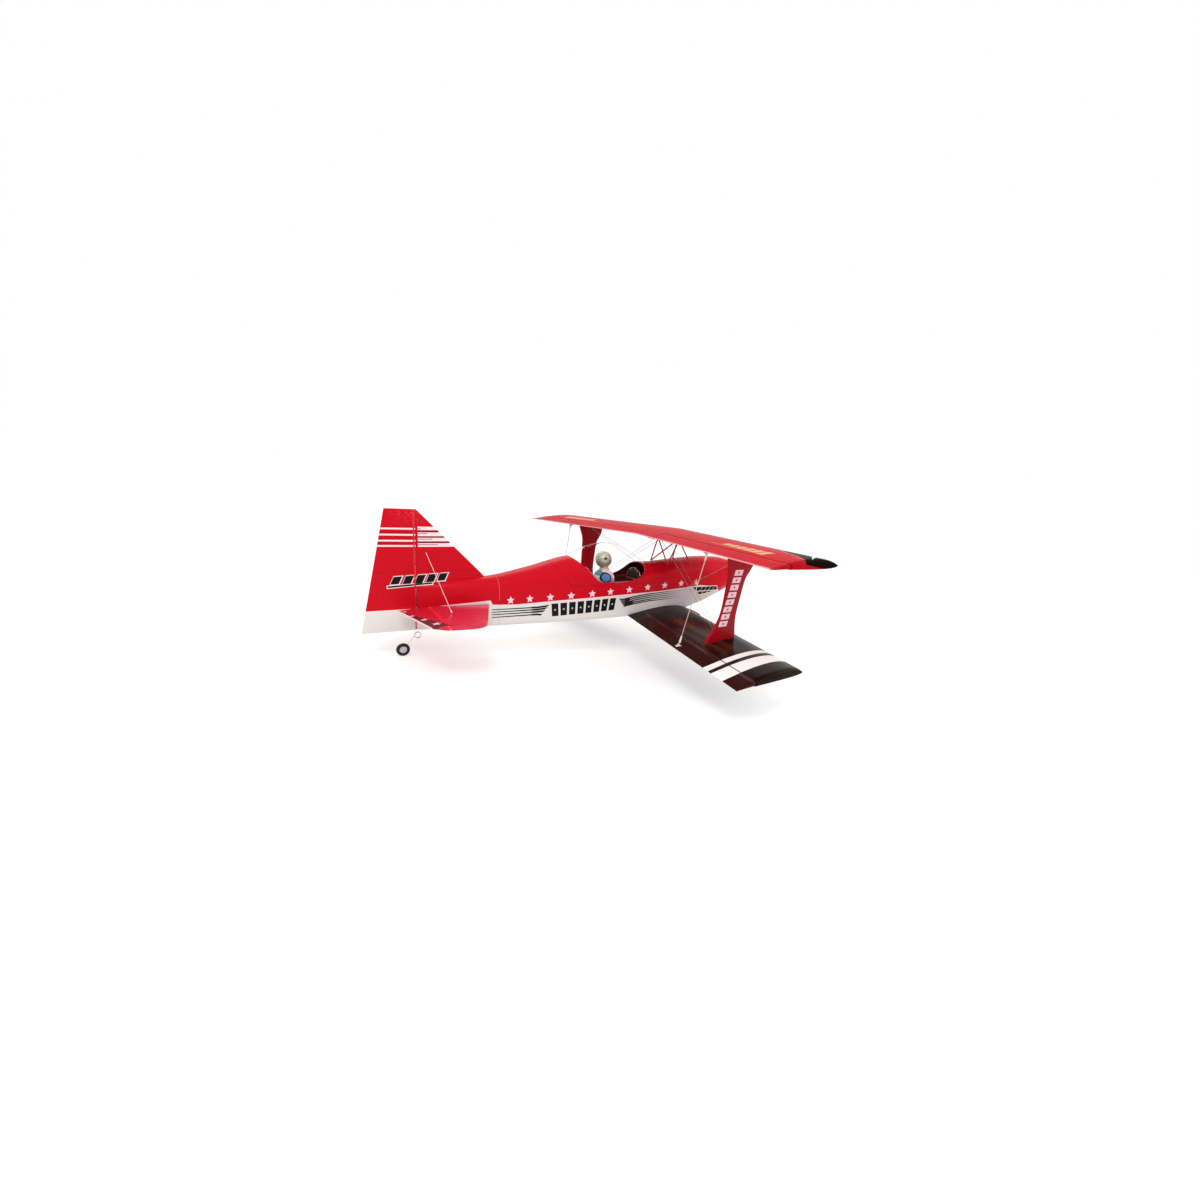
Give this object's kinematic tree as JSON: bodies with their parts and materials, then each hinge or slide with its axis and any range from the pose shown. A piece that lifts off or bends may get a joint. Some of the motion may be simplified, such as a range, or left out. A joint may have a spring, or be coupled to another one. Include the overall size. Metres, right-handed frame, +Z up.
{
  "type": "radio-controlled biplane",
  "caption": "Electric radio-controlled sport biplane with swept wings, I-shaped interplane struts, bubble canopy, pilot bust and tail-wheel landing gear.",
  "frame": {"origin": "on the ground under the middle of the aircraft's bounding box, with all three wheels standing on z = 0", "axes": "+X towards the nose along the ground, +Y to port (the pilot's left), +Z up; the fuselage sits about 5.4 degrees nose up"},
  "size_m": [1.0036, 1.1, 0.3398],
  "materials": {
    "aluminium": "satin aluminium",
    "black_film": "glossy black film over moulded foam",
    "blue_sleeve": "blue shrink sleeve",
    "clear": "clear vacuum-formed sheet",
    "cockpit_brown": "dark brown satin",
    "dark_plastic": "satin black plastic",
    "nylon": "white nylon",
    "pilot_grey": "satin silver-grey moulding",
    "red_film": "glossy red film over moulded foam",
    "rubber": "foam rubber",
    "steel": "bright steel wire",
    "white_paint": "glossy white moulding",
    "wood": "birch plywood"
  },
  "bodies": {
    "airframe": {"aileron_servo_left": "dark_plastic", "aileron_servo_right": "dark_plastic", "battery": "blue_sleeve", "cabane_block": "white_paint", "cabane_strut_left": "red_film", "cabane_strut_right": "red_film", "cowl": "red_film", "elevator_servo": "dark_plastic", "firewall_mount": "wood", "flying_wires_left": "steel", "flying_wires_right": "steel", "fuselage_shell": "red_film", "interplane_strut_left": "red_film", "interplane_strut_right": "red_film", "landing_gear": "red_film", "landing_wires_left": "steel", "landing_wires_right": "steel", "lower_wing_left": "black_film", "lower_wing_right": "black_film", "motor_stator": "steel", "rudder_servo": "dark_plastic", "speed_controller": "dark_plastic", "stabiliser": "red_film", "tail_brace_wire": "steel", "tail_moulding": "red_film", "upper_wing": "red_film", "wing_joiner_tube": "dark_plastic"},
    "hatch_unit": {"hatch_frame": "red_film", "canopy": "clear", "cockpit_tub": "cockpit_brown", "pilot": "pilot_grey"},
    "rudder_unit": {"rudder": "red_film", "tail_gear_wire": "steel"},
    "tail_wheel": {"tail_tyre": "rubber", "tail_hub": "nylon"},
    "elevator_unit": {"elevator_left": "red_film", "elevator_right": "red_film", "elevator_joiner": "steel"},
    "lower_aileron_left_unit": {"lower_aileron_left": "black_film"},
    "upper_aileron_left_unit": {"upper_aileron_left": "red_film"},
    "link_rod_left_unit": {"aileron_link_rod_left": "steel"},
    "servo_arm_left_unit": {"aileron_servo_arm_left": "nylon"},
    "pushrod_left_unit": {"aileron_pushrod_left": "steel"},
    "main_wheel_left": {"main_left_tyre": "rubber", "main_left_hub": "nylon"},
    "lower_aileron_right_unit": {"lower_aileron_right": "black_film"},
    "upper_aileron_right_unit": {"upper_aileron_right": "red_film"},
    "link_rod_right_unit": {"aileron_link_rod_right": "steel"},
    "servo_arm_right_unit": {"aileron_servo_arm_right": "nylon"},
    "pushrod_right_unit": {"aileron_pushrod_right": "steel"},
    "main_wheel_right": {"main_right_tyre": "rubber", "main_right_hub": "nylon"},
    "rudder_arm_unit": {"rudder_servo_arm": "nylon"},
    "rudder_pushrod_unit": {"rudder_pushrod": "steel"},
    "elevator_arm_unit": {"elevator_servo_arm": "nylon"},
    "elevator_pushrod_unit": {"elevator_pushrod": "steel"},
    "power_rotor": {"motor_bell": "aluminium", "spinner_backplate": "dark_plastic", "propeller": "dark_plastic", "spinner": "white_paint"}
  },
  "joints": [
    {"name": "hatch_lift", "type": "slide", "parent": "airframe", "child": "hatch_unit", "axis": [-0.6476, 0, 0.762], "range_m": [0, 0.05]},
    {"name": "rudder_hinge", "type": "hinge", "parent": "airframe", "child": "rudder_unit", "pos_m": [-0.40452, 0, 0.06468], "axis": [-0.0935, 0, 0.9956], "range_deg": [-25, 25]},
    {"name": "tail_wheel_spin", "type": "hinge", "parent": "rudder_unit", "child": "tail_wheel", "pos_m": [-0.42329, 0, 0.0132], "axis": [0, 1, 0], "continuous": true},
    {"name": "elevator_hinge", "type": "hinge", "parent": "airframe", "child": "elevator_unit", "pos_m": [-0.38573, 0, 0.10521], "axis": [0, 1, 0], "range_deg": [-25, 25]},
    {"name": "lower_aileron_left_hinge", "type": "hinge", "parent": "airframe", "child": "lower_aileron_left_unit", "pos_m": [0.12214, 0.086, 0.11273], "axis": [-0.1055, 0.9922, -0.0669], "range_deg": [-20, 20]},
    {"name": "upper_aileron_left_hinge", "type": "hinge", "parent": "airframe", "child": "upper_aileron_left_unit", "pos_m": [0.14148, 0.086, 0.3172], "axis": [-0.1057, 0.9941, -0.0233], "range_deg": [-20, 20]},
    {"name": "link_rod_left_pivot", "type": "hinge", "parent": "lower_aileron_left_unit", "child": "link_rod_left_unit", "pos_m": [0.06382, 0.301, 0.10143], "axis": [-0.1055, 0.9922, -0.0669], "range_deg": [-22, 22]},
    {"name": "servo_arm_left_pivot", "type": "hinge", "parent": "airframe", "child": "servo_arm_left_unit", "pos_m": [0.17088, 0.22, 0.09605], "axis": [-0.1055, 0.9922, -0.0669], "range_deg": [-20, 20]},
    {"name": "pushrod_left_pivot", "type": "hinge", "parent": "servo_arm_left_unit", "child": "pushrod_left_unit", "pos_m": [0.17219, 0.22, 0.08211], "axis": [-0.1055, 0.9922, -0.0669], "range_deg": [-20, 20]},
    {"name": "main_wheel_left_spin", "type": "hinge", "parent": "airframe", "child": "main_wheel_left", "pos_m": [0.34952, 0.12, 0.03], "axis": [0, 1, 0], "continuous": true},
    {"name": "lower_aileron_right_hinge", "type": "hinge", "parent": "airframe", "child": "lower_aileron_right_unit", "pos_m": [0.12214, -0.086, 0.11273], "axis": [0.1055, 0.9922, 0.0669], "range_deg": [-20, 20]},
    {"name": "upper_aileron_right_hinge", "type": "hinge", "parent": "airframe", "child": "upper_aileron_right_unit", "pos_m": [0.14148, -0.086, 0.3172], "axis": [0.1057, 0.9941, 0.0233], "range_deg": [-20, 20]},
    {"name": "link_rod_right_pivot", "type": "hinge", "parent": "lower_aileron_right_unit", "child": "link_rod_right_unit", "pos_m": [0.06382, -0.301, 0.10143], "axis": [0.1055, 0.9922, 0.0669], "range_deg": [-22, 22]},
    {"name": "servo_arm_right_pivot", "type": "hinge", "parent": "airframe", "child": "servo_arm_right_unit", "pos_m": [0.17088, -0.22, 0.09605], "axis": [0.1055, 0.9922, 0.0669], "range_deg": [-20, 20]},
    {"name": "pushrod_right_pivot", "type": "hinge", "parent": "servo_arm_right_unit", "child": "pushrod_right_unit", "pos_m": [0.17219, -0.22, 0.08211], "axis": [0.1055, 0.9922, 0.0669], "range_deg": [-20, 20]},
    {"name": "main_wheel_right_spin", "type": "hinge", "parent": "airframe", "child": "main_wheel_right", "pos_m": [0.34952, -0.12, 0.03], "axis": [0, 1, 0], "continuous": true},
    {"name": "rudder_arm_pivot", "type": "hinge", "parent": "airframe", "child": "rudder_arm_unit", "pos_m": [-0.20363, 0.047, 0.1448], "axis": [0, 1, 0], "range_deg": [-25, 25]},
    {"name": "rudder_pushrod_slide", "type": "slide", "parent": "airframe", "child": "rudder_pushrod_unit", "axis": [-0.9956, 0, -0.0935], "range_m": [-0.0065, 0.0065]},
    {"name": "elevator_arm_pivot", "type": "hinge", "parent": "airframe", "child": "elevator_arm_unit", "pos_m": [-0.20139, 0.047, 0.12091], "axis": [0, 1, 0], "range_deg": [-25, 25]},
    {"name": "elevator_pushrod_pivot", "type": "hinge", "parent": "elevator_arm_unit", "child": "elevator_pushrod_unit", "pos_m": [-0.20008, 0.047, 0.10697], "axis": [0, 1, 0], "range_deg": [-25, 25]},
    {"name": "propeller_spin", "type": "hinge", "parent": "airframe", "child": "power_rotor", "pos_m": [0.466, 0, 0.23358], "axis": [0.9956, 0, 0.0935], "continuous": true}
  ],
  "couplings": [
    {"joint": "lower_aileron_right_hinge", "follows": "lower_aileron_left_hinge", "ratio": -1},
    {"joint": "upper_aileron_left_hinge", "follows": "lower_aileron_left_hinge", "ratio": 1},
    {"joint": "upper_aileron_right_hinge", "follows": "lower_aileron_left_hinge", "ratio": -1},
    {"joint": "link_rod_left_pivot", "follows": "lower_aileron_left_hinge", "ratio": -1.0657},
    {"joint": "link_rod_right_pivot", "follows": "lower_aileron_left_hinge", "ratio": 1.0657},
    {"joint": "servo_arm_left_pivot", "follows": "lower_aileron_left_hinge", "ratio": 1},
    {"joint": "servo_arm_right_pivot", "follows": "lower_aileron_left_hinge", "ratio": -1},
    {"joint": "pushrod_left_pivot", "follows": "lower_aileron_left_hinge", "ratio": -1},
    {"joint": "pushrod_right_pivot", "follows": "lower_aileron_left_hinge", "ratio": 1},
    {"joint": "rudder_arm_pivot", "follows": "rudder_hinge", "ratio": -1},
    {"joint": "rudder_pushrod_slide", "follows": "rudder_hinge", "m_per_rad": 0.014},
    {"joint": "elevator_arm_pivot", "follows": "elevator_hinge", "ratio": 1},
    {"joint": "elevator_pushrod_pivot", "follows": "elevator_hinge", "ratio": -1}
  ]
}
